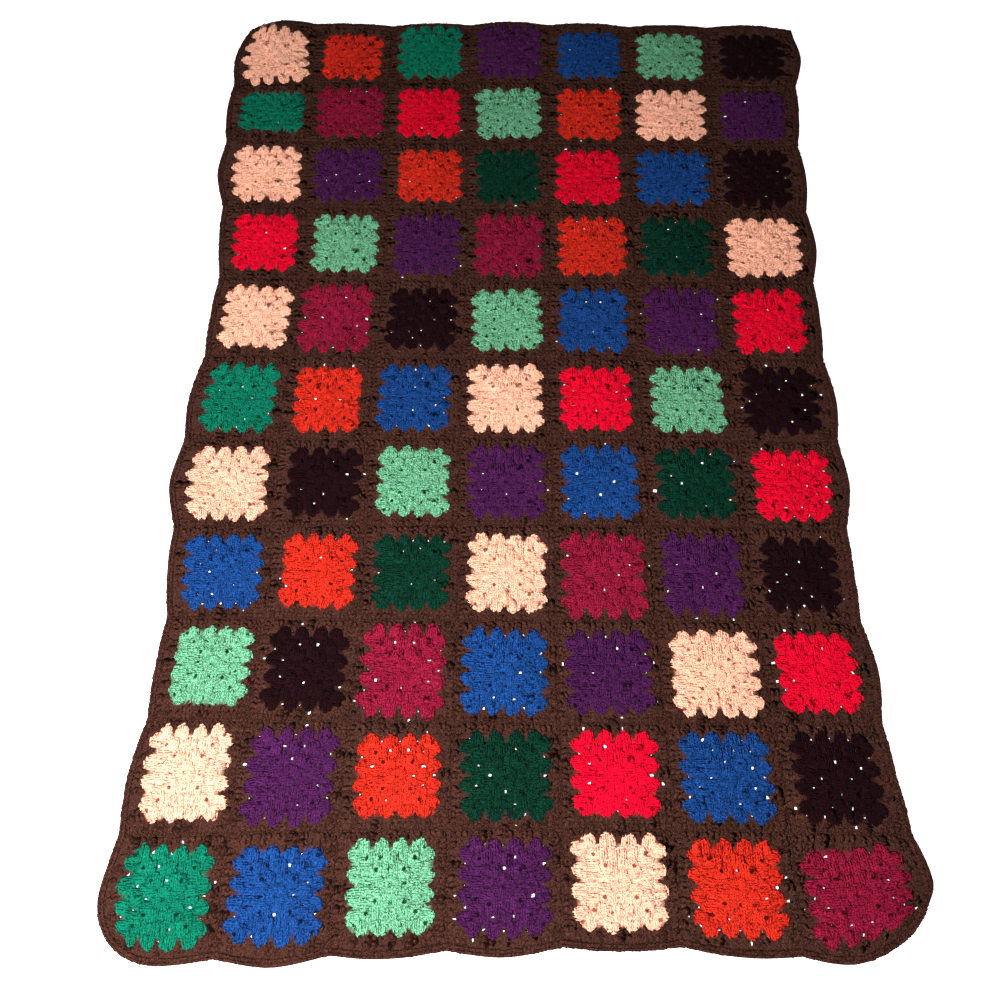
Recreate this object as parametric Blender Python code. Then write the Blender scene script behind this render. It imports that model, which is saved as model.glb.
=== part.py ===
"""Granny square blanket: seven by eleven crocheted squares, joined in rows, with an edging all round.

The blanket lies flat. Everything is worked out on a plan in square units: u counts the squares from the
left side and v counts them from the far end, so square (column, row) covers u = column to column + 1.
One function, lie_at, turns a place on the plan into metres, with all the unevenness of hand work.
"""

from collections import namedtuple
from math import copysign, exp, hypot, pi, sin, sqrt

import bmesh
import bpy
from mathutils import Vector

# Driving sizes, in metres
SQUARE = 0.150            # one square with its brown border, from seam to seam
COLUMNS = 7
ROWS = 11
SEAM_THICKNESS = 0.0034   # the flattened joining row between squares
SQUARE_PUFF = 0.0012      # how far the middle of a square stands above its seams
EDGING_WIDTH = 0.011
EDGING_THICKNESS = 0.0050
PIECE_GAP = 0.0003        # between one piece and the next
GAP_SIZE = 0.0050         # the largest spaces between clusters, which go right through
SCALLOP_DEPTH = 0.008     # how far the outline draws in at each seam
ROW_BOW = -0.008          # the middle squares of every row lie a little to the left

# Where a square is divided: close to its seams, and round the coloured clusters
DIVISIONS = (0.0, 0.1, 0.35, 0.65, 0.9)
CLUSTER_SPACE = 0.20      # the corner spaces of the second round, from the middle of a square

# The edging's section: two rounds of stitches with a groove between, as shares of its width and height
ProfilePoint = namedtuple("ProfilePoint", "out up")
EDGING_PROFILE = (
    ProfilePoint(0.0, 0.0),
    ProfilePoint(0.0, 0.75),
    ProfilePoint(0.25, 0.95),
    ProfilePoint(0.50, 0.70),
    ProfilePoint(0.76, 1.0),
    ProfilePoint(1.0, 0.60),
    ProfilePoint(0.95, 0.0),
)

# A ruck, where the cloth is pushed up at the left side between the second and third rows
RUCK_V = 1.9
RUCK_HEIGHT = 0.007
RUCK_HALF_WIDTH = 0.09    # in squares
RUCK_LENGTH = 0.75        # in squares

# The right-hand edging is pulled tight there and curls into a rope
CURL_EXTRA = 0.0025
CURL_MIDDLE = 6.5         # in squares from the far end
CURL_REACH = 4.0

# Each row: where its first and last squares are centred, the height of its first, middle and last
# squares on the plan, and how far its two outer sides bow out
Row = namedtuple("Row", "x_left x_right y_left y_middle y_right out_left out_right")
ROW_TABLE = (
    Row(-0.458, 0.470, 0.741, 0.753, 0.744, -0.002, 0.006),
    Row(-0.449, 0.459, 0.604, 0.601, 0.597, 0.005, -0.002),
    Row(-0.442, 0.452, 0.458, 0.454, 0.454, 0.013, 0.003),
    Row(-0.431, 0.446, 0.306, 0.302, 0.299, 0.005, 0.010),
    Row(-0.435, 0.443, 0.153, 0.147, 0.150, -0.003, 0.002),
    Row(-0.443, 0.447, -0.005, -0.002, -0.005, 0.004, 0.005),
    Row(-0.442, 0.451, -0.158, -0.150, -0.155, 0.015, 0.003),
    Row(-0.434, 0.447, -0.303, -0.300, -0.301, 0.007, -0.005),
    Row(-0.442, 0.455, -0.446, -0.453, -0.449, -0.005, 0.002),
    Row(-0.456, 0.468, -0.602, -0.599, -0.599, -0.004, -0.004),
    Row(-0.462, 0.472, -0.759, -0.740, -0.745, 0.004, 0.021),
)

# Each column: how far its far and foot ends bow out
Column = namedtuple("Column", "out_far out_foot")
COLUMN_TABLE = (
    Column(0.021, -0.002),
    Column(-0.002, 0.007),
    Column(-0.003, 0.000),
    Column(0.002, 0.001),
    Column(-0.002, -0.005),
    Column(-0.003, 0.000),
    Column(0.001, 0.001),
)

# Each corner of the blanket: which way it points on the plan, and how much of it is drawn in
Corner = namedtuple("Corner", "at_right at_foot drawn_in")
CORNER_TABLE = (
    Corner(0, 0, 0.040),
    Corner(1, 0, 0.008),
    Corner(0, 1, 0.028),
    Corner(1, 1, 0.036),
)

# The yarn of each square, a letter each: Apricot, Rust, Teal, Violet, Blue, Mint, blacK, Claret,
# Scarlet, Green
CHART = (
    "ARTVBMK",
    "TCSMRAV",
    "AVRGSBK",
    "SMVCRGA",
    "ACKMBVS",
    "TRBASMK",
    "AKMVBGS",
    "BRGACVK",
    "MKCBVAS",
    "AVRGSBK",
    "TBMVARC",
)
YARNS = {
    "A": ("yarn_apricot", (0.93, 0.68, 0.50)),
    "R": ("yarn_rust", (0.78, 0.06, 0.02)),
    "T": ("yarn_teal", (0.01, 0.25, 0.14)),
    "V": ("yarn_violet", (0.09, 0.02, 0.16)),
    "B": ("yarn_blue", (0.01, 0.08, 0.42)),
    "M": ("yarn_mint", (0.18, 0.62, 0.36)),
    "K": ("yarn_black", (0.015, 0.005, 0.008)),
    "C": ("yarn_claret", (0.25, 0.015, 0.05)),
    "S": ("yarn_scarlet", (0.72, 0.01, 0.03)),
    "G": ("yarn_green", (0.005, 0.05, 0.03)),
}
BORDER_YARN = ("yarn_brown", (0.045, 0.022, 0.016))
YARN_ROUGHNESS = 0.85


def clear_scene():
    for old in list(bpy.data.objects):
        bpy.data.objects.remove(old, do_unlink=True)


def yarn_material(name, colour):
    material = bpy.data.materials.new(name)
    material.use_nodes = True
    shader = material.node_tree.nodes["Principled BSDF"]
    shader.inputs["Base Color"].default_value = (*colour, 1.0)
    shader.inputs["Roughness"].default_value = YARN_ROUGHNESS
    shader.inputs["Metallic"].default_value = 0.0
    return material


def along(values, place):
    """A value between square centres, which lie at 0, 1, 2 and so on. It holds past either end."""
    place = min(max(place, 0.0), len(values) - 1.0)
    low = min(int(place), len(values) - 2)
    return values[low] + (values[low + 1] - values[low]) * (place - low)


def down_rows(field, v):
    """One column of the row table, read at v squares from the far end."""
    return along([getattr(row, field) for row in ROW_TABLE], v - 0.5)


def across_columns(field, u):
    return along([getattr(column, field) for column in COLUMN_TABLE], u - 0.5)


def scallop(out, place):
    """How far an outer side stands out: bowed over each square and drawn in at each seam."""
    return out - SCALLOP_DEPTH * (1.0 - abs(sin(pi * place)))


def near(distance):
    """1 at an outer side, falling to 0 one square in."""
    return max(0.0, 1.0 - distance) ** 2


def lie_at(u, v):
    """The place in metres of a point on the plan, as (x, y), before the blanket is centred."""
    share = (u - 0.5) / (COLUMNS - 1)
    x_left = down_rows("x_left", v)
    x_right = down_rows("x_right", v)
    x = x_left + (x_right - x_left) * share + ROW_BOW * 4.0 * share * (1.0 - share)
    held = min(max(share, 0.0), 1.0)
    y_left = down_rows("y_left", v)
    y_middle = down_rows("y_middle", v)
    y_right = down_rows("y_right", v)
    y = y_left * (1.0 - held) * (1.0 - 2.0 * held) + y_middle * 4.0 * held * (1.0 - held)
    y += y_right * held * (2.0 * held - 1.0)
    y += SQUARE * (max(0.0, 0.5 - v) - max(0.0, v - (ROWS - 0.5)))
    x -= scallop(down_rows("out_left", v), v) * near(u)
    x += scallop(down_rows("out_right", v), v) * near(COLUMNS - u)
    y += scallop(across_columns("out_far", u), u) * near(v)
    y -= scallop(across_columns("out_foot", u), u) * near(ROWS - v)
    for corner in CORNER_TABLE:
        from_side = COLUMNS - u if corner.at_right else u
        from_end = ROWS - v if corner.at_foot else v
        drawn = corner.drawn_in * near(from_side) * near(from_end) / sqrt(2.0)
        x -= drawn if corner.at_right else -drawn
        y += drawn if corner.at_foot else -drawn
    return x, y


def lift(u, v):
    """How far the cloth stands off the floor, which is only at the ruck."""
    across = exp(-(((v - RUCK_V) / RUCK_HALF_WIDTH) ** 2))
    return RUCK_HEIGHT * across * max(0.0, 1.0 - u / RUCK_LENGTH)


def thickness(u, v):
    """The cloth's own thickness: puffed over each square and flat at the seams."""
    return SEAM_THICKNESS + SQUARE_PUFF * (sin(pi * (u % 1.0)) * sin(pi * (v % 1.0))) ** 0.5


def perimeter():
    """Places on the plan all the way round the joined squares, starting at the far left corner."""
    steps = [square + part for square in range(COLUMNS) for part in DIVISIONS]
    downs = [square + part for square in range(ROWS) for part in DIVISIONS]
    far = [(u, 0.0) for u in steps]
    right = [(float(COLUMNS), v) for v in downs]
    foot = [(COLUMNS - u, float(ROWS)) for u in steps]
    left = [(0.0, ROWS - v) for v in downs]
    return far + right + foot + left


def outward(spots, index):
    """The direction, across the edge in the floor's plane, that points away from the blanket."""
    ahead = spots[(index + 1) % len(spots)]
    behind = spots[index - 1]
    run_x = ahead[0] - behind[0]
    run_y = ahead[1] - behind[1]
    length = hypot(run_x, run_y)
    return -run_y / length, run_x / length


def edging_sides():
    """The inner side of the edging, and the way out from it, at each place round the blanket."""
    spots = [lie_at(u, v) for u, v in perimeter()]
    return [(spot, outward(spots, index)) for index, spot in enumerate(spots)]


def centre_of_outline():
    outer = [(x + EDGING_WIDTH * way[0], y + EDGING_WIDTH * way[1]) for (x, y), way in edging_sides()]
    xs = [x for x, _ in outer]
    ys = [y for _, y in outer]
    return (min(xs) + max(xs)) / 2.0, (min(ys) + max(ys)) / 2.0


def finish_object(name, mesh_maker, materials):
    mesh = bpy.data.meshes.new(name)
    mesh_maker.to_mesh(mesh)
    mesh_maker.free()
    for material in materials:
        mesh.materials.append(material)
    piece = bpy.data.objects.new(name, mesh)
    bpy.context.scene.collection.objects.link(piece)
    return piece


def plan_grid(row):
    """One row of squares as a flat grid on the plan, divided at each square's divisions."""
    per_square = len(DIVISIONS)
    maker = bmesh.new()
    bmesh.ops.create_grid(maker, x_segments=COLUMNS * per_square, y_segments=per_square, size=0.5)
    stops = (*DIVISIONS, 1.0)
    for vert in maker.verts:
        step_u = round((vert.co.x + 0.5) * COLUMNS * per_square)
        step_v = round((vert.co.y + 0.5) * per_square)
        square = min(step_u // per_square, COLUMNS - 1)
        vert.co.x = square + stops[step_u - square * per_square]
        vert.co.y = row + stops[step_v]
    return maker


def cluster_spaces(row):
    """Two corner spaces of the second round in each square of a row, on alternate diagonals."""
    for column in range(COLUMNS):
        slant = 1 if (column + row) % 2 else -1
        for side in (-1, 1):
            yield Vector((column + 0.5 + side * CLUSTER_SPACE, row + 0.5 + side * slant * CLUSTER_SPACE))


def open_space(maker, middle):
    """Leaves a square hole in the grid at a place on the plan."""
    face = min(maker.faces, key=lambda f: (f.calc_center_median().xy - middle).length)
    half = GAP_SIZE / SQUARE / 2.0
    bmesh.ops.inset_region(maker, faces=[face], thickness=half)
    about = face.calc_center_median()
    for vert in face.verts:
        vert.co.x = middle.x + copysign(half, vert.co.x - about.x)
        vert.co.y = middle.y + copysign(half, vert.co.y - about.y)
    bmesh.ops.delete(maker, geom=[face], context="FACES_ONLY")


def paint_squares(maker, row):
    """Sets each face's material: the square's own yarn over its clusters, and brown round them."""
    yarns = list(YARNS)
    for face in maker.faces:
        middle = face.calc_center_median()
        column = min(int(middle.x), COLUMNS - 1)
        in_clusters = DIVISIONS[1] < middle.x - column < DIVISIONS[-1]
        in_clusters = in_clusters and DIVISIONS[1] < middle.y - row < DIVISIONS[-1]
        face.material_index = 1 + yarns.index(CHART[row][column]) if in_clusters else 0


def give_thickness(maker):
    """Pulls the flat grid up into a closed slab, one unit high until it is laid out."""
    raised = bmesh.ops.extrude_face_region(maker, geom=list(maker.faces), use_keep_orig=True)
    for vert in raised["geom"]:
        if isinstance(vert, bmesh.types.BMVert):
            vert.co.z = 1.0


def lay_out_row(maker, row, middle):
    """Moves every point of a row from the plan to its place in metres."""
    margin = PIECE_GAP / SQUARE
    for vert in maker.verts:
        u, v, top = vert.co
        edge_u = min(max(u, margin), COLUMNS - margin)
        end_v = min(max(v, row + (margin if row == 0 else margin / 2.0)), row + 1 - margin / 2.0)
        if row == ROWS - 1:
            end_v = min(end_v, ROWS - margin)
        x, y = lie_at(edge_u, end_v)
        vert.co = (x - middle[0], y - middle[1], lift(u, v) + top * thickness(u, v))
    bmesh.ops.recalc_face_normals(maker, faces=list(maker.faces))


def make_row(row, middle, materials):
    maker = plan_grid(row)
    for space in cluster_spaces(row):
        open_space(maker, space)
    paint_squares(maker, row)
    give_thickness(maker)
    lay_out_row(maker, row, middle)
    return finish_object(f"squares_row_{row + 1:02d}", maker, materials)


def edging_height(v, u):
    """The edging's height at its crest: higher where it curls along the right side."""
    if u < COLUMNS:
        return EDGING_THICKNESS
    curl = max(0.0, 1.0 - ((v - CURL_MIDDLE) / CURL_REACH) ** 2)
    return EDGING_THICKNESS + CURL_EXTRA * curl


def make_edging(middle, material):
    """A ring of one ribbed section, which follows the outer side of the joined rows."""
    sides = edging_sides()
    places = perimeter()
    around = len(sides)
    points = len(EDGING_PROFILE)
    maker = bmesh.new()
    bmesh.ops.create_grid(maker, x_segments=around, y_segments=points, size=0.5)
    for vert in maker.verts:
        at = round((vert.co.x + 0.5) * around) % around
        step = round((vert.co.y + 0.5) * points) % points
        (x, y), way = sides[at]
        u, v = places[at]
        out = EDGING_PROFILE[step].out * EDGING_WIDTH
        up = EDGING_PROFILE[step].up * edging_height(v, u)
        vert.co = (x + way[0] * out - middle[0], y + way[1] * out - middle[1], lift(u, v) + up)
    bmesh.ops.remove_doubles(maker, verts=list(maker.verts), dist=1e-6)
    bmesh.ops.recalc_face_normals(maker, faces=list(maker.faces))
    return finish_object("edging", maker, [material])


def main():
    clear_scene()
    brown = yarn_material(*BORDER_YARN)
    yarns = [yarn_material(*YARNS[letter]) for letter in YARNS]
    middle = centre_of_outline()
    for row in range(ROWS):
        make_row(row, middle, [brown, *yarns])
    make_edging(middle, brown)


main()
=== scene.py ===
"""A granny square blanket, worked stitch by stitch in worsted yarn over a thin ground cloth.

Seventy-seven squares lie seven across and eleven down. Each has four rounds of coloured clusters and a
brown round. A joining row runs along every seam, and two rounds of edging go round the whole. Places on
the plan are in metres as the squares were charted: p runs to the right and q towards the far end, both
from the far left corner, and Plan.lie turns them into where the uneven handwork really lies.
"""

import sys

import logging
import math
from dataclasses import dataclass, field
from enum import Enum
from typing import Any

import bmesh
import bpy
import numpy as np
from mathutils import Matrix, Vector


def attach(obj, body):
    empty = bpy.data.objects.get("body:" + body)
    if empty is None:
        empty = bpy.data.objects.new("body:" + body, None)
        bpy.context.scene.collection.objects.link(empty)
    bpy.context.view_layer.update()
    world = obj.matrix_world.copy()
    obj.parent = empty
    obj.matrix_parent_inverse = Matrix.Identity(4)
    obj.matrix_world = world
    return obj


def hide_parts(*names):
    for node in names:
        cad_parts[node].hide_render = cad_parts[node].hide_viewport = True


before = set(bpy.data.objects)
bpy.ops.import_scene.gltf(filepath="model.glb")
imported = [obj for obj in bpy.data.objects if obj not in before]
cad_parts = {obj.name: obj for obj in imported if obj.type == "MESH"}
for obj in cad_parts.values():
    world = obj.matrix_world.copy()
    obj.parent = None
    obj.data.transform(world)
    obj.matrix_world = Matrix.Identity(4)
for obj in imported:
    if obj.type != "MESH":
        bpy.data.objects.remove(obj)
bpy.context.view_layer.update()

LOG = logging.getLogger("blanket")
SQUARE = 0.150            # one square with its brown border, from seam to seam
COLUMNS = 7
ROWS = 11
SEED = 7711
BODY = "root"
WHITE = (1.0, 1.0, 1.0, 1.0)
TINY = 1e-6               # less than anything that counts, for comparisons and divisions


class Draw(Enum):
    """What each source of unevenness is for, as its distance from the first seed."""

    SQUARES = 0
    SEAMS = 500
    EDGING = 900
    GROUND = 3000
    SPACES = 4000


def chance_for(job: Draw, number: int = 0) -> np.random.Generator:
    """A source of small unevenness that gives the same draws on every run."""
    return np.random.default_rng(SEED + job.value + number)


def linked(name: str, data: Any) -> bpy.types.Object:
    """Puts an object into the scene, at its origin.

    Args:
        name: Its name.
        data: Its mesh, light or camera.

    Returns:
        The object.
    """
    made = bpy.data.objects.new(name, data)
    bpy.context.scene.collection.objects.link(made)
    return made


def finished(name: str, shape: bmesh.types.BMesh) -> bpy.types.Object:
    """Turns a shape that is done into an object.

    Args:
        name: The object's name.
        shape: The shape, which is freed.

    Returns:
        The object, in the scene.
    """
    mesh = bpy.data.meshes.new(name)
    shape.to_mesh(mesh)
    shape.free()
    return linked(name, mesh)


class YarnColour(Enum):
    """The eleven yarns, by the letter that the chart uses."""

    APRICOT = "A"
    RUST = "R"
    TEAL = "T"
    VIOLET = "V"
    BLUE = "B"
    MINT = "M"
    BLACK = "K"
    CLARET = "C"
    SCARLET = "S"
    GREEN = "G"
    BROWN = "N"


class Tension(Enum):
    """How tightly a square was worked, as the side of its coloured part in metres."""

    TIGHT = 0.1175
    SNUG = 0.1215
    EVEN = 0.1255
    EASY = 0.1300
    LOOSE = 0.1350


@dataclass(frozen=True)
class YarnFinish:
    """One colour of yarn as it looks when worked.

    Attributes:
        name: The yarn's plain name, used for its material and its pieces.
        colour: The base colour of the yarn's lit side, linear.
        deep: The painted shade colour in the crevices between strands, linear.
        spread: How far stitches differ from one another in brightness.
        sheen: How strongly the fuzz catches light at a grazing angle.
        rib_shade: How clearly the strands stand out from one another by painted shade, crests lighter
            and crevices darker.
        dimple_painted_shade: How strong the painted shade in the closed spaces between clusters is.
        holed: Whether the floor shows through the spaces between its clusters.
        pale_fibres_and_sheen: How far stray fibres lighten the strands, partly pale fibres and partly a
            painted sheen of light on them.
        grit: How strongly the fine mottle of the fibres shows.
        glow: How strongly the yarn glows by emission, a painted glow that stands in for light scattered
            inside a pale yarn.
    """

    name: str
    colour: tuple[float, float, float]
    deep: tuple[float, float, float]
    spread: float = 0.16
    sheen: float = 0.35
    rib_shade: float = 1.0
    dimple_painted_shade: float = 0.5
    holed: bool = True
    pale_fibres_and_sheen: float = 0.015
    grit: float = 1.0
    glow: float = 0.0

    @property
    def slot(self) -> str:
        """The name of a material slot for this yarn."""
        return "border_yarn" if self.name == "brown" else f"yarn_{self.name}"


FINISHES: dict[YarnColour, YarnFinish] = {
    YarnColour.APRICOT: YarnFinish(
        "apricot", (0.98, 0.490, 0.338), (0.40, 0.090, 0.048),
        0.04, 0.24, 0.4, 1.3, False, 0.05, 0.45, 0.08),
    YarnColour.RUST: YarnFinish(
        "rust", (0.58, 0.0205, 0.0092), (0.13, 0.005, 0.003), 0.12, 0.06, 0.9, 1.2, grit=1.6),
    YarnColour.TEAL: YarnFinish(
        "teal", (0.0014, 0.143, 0.081), (0.001, 0.036, 0.020), 0.12, 0.03, 0.8, 0.9, grit=1.4),
    YarnColour.VIOLET: YarnFinish(
        "violet", (0.054, 0.0080, 0.054), (0.012, 0.002, 0.013), 0.16, 0.02, 0.9, 0.8, grit=2.4),
    YarnColour.BLUE: YarnFinish(
        "blue", (0.007, 0.0475, 0.193), (0.002, 0.009, 0.042), 0.14, 0.03, 0.8, 0.8, grit=2.3),
    YarnColour.MINT: YarnFinish(
        "mint", (0.140, 0.396, 0.220), (0.008, 0.055, 0.022),
        0.08, 0.15, 0.6, 1.2, False, 0.05, 2.3),
    YarnColour.BLACK: YarnFinish(
        "black", (0.0088, 0.0011, 0.0021), (0.004, 0.001, 0.0013), 0.22, 0.12, grit=2.0),
    YarnColour.CLARET: YarnFinish(
        "claret", (0.222, 0.0057, 0.0280), (0.040, 0.002, 0.006), 0.15, 0.04, 0.9, 0.8, grit=2.3),
    YarnColour.SCARLET: YarnFinish(
        "scarlet", (0.68, 0.0010, 0.0210), (0.26, 0.001, 0.008), 0.07, 0.05, 0.7, 0.9, grit=0.9),
    YarnColour.GREEN: YarnFinish(
        "green", (0.0010, 0.0255, 0.0136), (0.001, 0.005, 0.003), 0.16, 0.01, 1.1, grit=3.2),
    YarnColour.BROWN: YarnFinish(
        "brown", (0.0470, 0.0157, 0.0102), (0.0175, 0.0060, 0.0042),
        0.24, 0.06, 0.3, 0.4, True, 0.03, 3.6),
}

CHART = (
    "ARTVBMK",
    "TCSMRAV",
    "AVRGSBK",
    "SMVCRGA",
    "ACKMBVS",
    "TRBASMK",
    "AKMVBGS",
    "BRGACVK",
    "MKCBVAS",
    "AVRGSBK",
    "TBMVARC",
)

# How tightly each square was worked across and up: t tight, s snug, e even, y easy, l loose
WIDTH_CHART = (
    "lteeset",
    "elsesys",
    "elsssls",
    "seeyeye",
    "yleesys",
    "eteysss",
    "eesyees",
    "eseeles",
    "eeyyyyt",
    "yysyses",
    "eyteesy",
)
HEIGHT_CHART = (
    "lsllees",
    "tyseeee",
    "yeseeel",
    "ssyleee",
    "slssele",
    "eseysee",
    "yssyyee",
    "essells",
    "telyeys",
    "yltyeyy",
    "yseylys",
)
TENSIONS = {
    "t": Tension.TIGHT,
    "s": Tension.SNUG,
    "e": Tension.EVEN,
    "y": Tension.EASY,
    "l": Tension.LOOSE,
}
TIP_TO_TIP = 0.1250       # the side of the coloured part in the rounds below


@dataclass(frozen=True)
class Ease:
    """How one square's coloured part differs from a true square.

    Attributes:
        turn: How far it is turned, in degrees to the left.
        wide: Its width as a share of its tension's side.
        tall: Its height as a share of its tension's side.
        lean: How far its top leans to the right, as a share of its height.
        right: How far its middle lies to the right of the square's middle, in metres.
        far: How far its middle lies towards the far end, in metres.
        taper: How much taller its left side is than its middle, as a share of its height.
    """

    turn: float = 0.0
    wide: float = 1.0
    tall: float = 1.0
    lean: float = 0.0
    right: float = 0.0
    far: float = 0.0
    taper: float = 0.0


# Squares that were worked or joined askew, by row and column from one
ODD_SQUARES: dict[tuple[int, int], Ease] = {
    (1, 1): Ease(turn=-5, wide=1.02, tall=1.11, lean=-0.18, right=-0.003, taper=0.18),
    (1, 2): Ease(far=-0.006),
    (1, 3): Ease(tall=1.10, far=0.008),
    (1, 4): Ease(tall=1.08, far=0.008),
    (2, 1): Ease(turn=3, tall=0.80, lean=0.08),
    (3, 3): Ease(right=0.005),
    (3, 5): Ease(right=-0.004),
    (5, 2): Ease(right=-0.004),
    (5, 7): Ease(turn=4, lean=0.05),
    (6, 2): Ease(far=-0.003),
    (6, 3): Ease(right=-0.004),
    (7, 2): Ease(right=0.004),
    (8, 2): Ease(right=0.003, far=0.002),
    (9, 1): Ease(right=0.005, far=0.003),
    (8, 5): Ease(tall=1.03, far=-0.003),
    (9, 3): Ease(tall=1.05, right=-0.004),
    (9, 4): Ease(right=-0.003),
    (9, 6): Ease(right=0.004, far=-0.002),
    (10, 1): Ease(lean=-0.08, far=0.005),
    (10, 5): Ease(far=0.004),
    (11, 1): Ease(wide=1.01, tall=1.02, far=-0.002),
    (11, 2): Ease(far=-0.003),
    (11, 3): Ease(lean=-0.05, far=0.003),
    (11, 5): Ease(far=0.005),
    (11, 7): Ease(turn=7, lean=0.03, right=-0.001, far=-0.003),
}


@dataclass(frozen=True)
class Square:
    """One granny square, by its row from the far end and its column from the left, both from nought."""

    row: int
    column: int

    @property
    def number(self) -> int:
        """Its number, counted along the rows."""
        return self.row * COLUMNS + self.column

    @property
    def colour(self) -> YarnColour:
        """Its yarn."""
        return YarnColour(CHART[self.row][self.column])

    @property
    def middle(self) -> np.ndarray:
        """The middle of its cell on the plan."""
        return np.array([(self.column + 0.5) * SQUARE, -(self.row + 0.5) * SQUARE])

    @property
    def sides(self) -> tuple[float, ...]:
        """How wide and how tall its coloured part came out, in metres."""
        letters = (chart[self.row][self.column] for chart in (WIDTH_CHART, HEIGHT_CHART))
        return tuple(TENSIONS[letter].value for letter in letters)

    def eased(self, spots: np.ndarray, turn: float = 0.0) -> np.ndarray:
        """Places in its coloured part as its tension and its oddness leave them.

        Args:
            spots: The places in a true square, from its middle, as (places, 2).
            turn: A small turn in degrees, besides its own.

        Returns:
            The places on the plan.
        """
        ease = ODD_SQUARES.get((self.row + 1, self.column + 1), Ease())
        wide, tall = self.sides
        x = spots[:, 0] * wide * ease.wide / TIP_TO_TIP
        y = spots[:, 1] * tall * ease.tall / TIP_TO_TIP
        y = y * (1.0 - ease.taper * spots[:, 0] * 2.0 / TIP_TO_TIP)
        x = x + ease.lean * y
        angle = math.radians(turn + ease.turn)
        turned_x = x * math.cos(angle) - y * math.sin(angle)
        turned_y = x * math.sin(angle) + y * math.cos(angle)
        return np.stack([turned_x + ease.right, turned_y + ease.far], axis=1) + self.middle


SQUARES = tuple(Square(row, column) for row in range(ROWS) for column in range(COLUMNS))


@dataclass(frozen=True)
class PlanRow:
    """Where one row of squares lies, in metres from the middle of the charted blanket.

    The two x are for the middles of its first and last squares, and the three y for its left, middle and
    right squares. Out is how far each outer side bows out.
    """

    x_left: float
    x_right: float
    y_left: float
    y_middle: float
    y_right: float
    out_left: float
    out_right: float


@dataclass(frozen=True)
class PlanColumn:
    """How far one column's far and foot ends bow out, in metres."""

    out_far: float
    out_foot: float


@dataclass(frozen=True)
class PlanCorner:
    """A corner of the blanket.

    Attributes:
        at_right: Whether it is on the right, seen from the foot.
        at_foot: Whether it is at the foot.
        drawn_in: How far it is drawn in, in metres.
        spread: How many squares in from each side the drawing in reaches.
    """

    at_right: bool
    at_foot: bool
    drawn_in: float
    spread: float = 1.0


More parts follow.
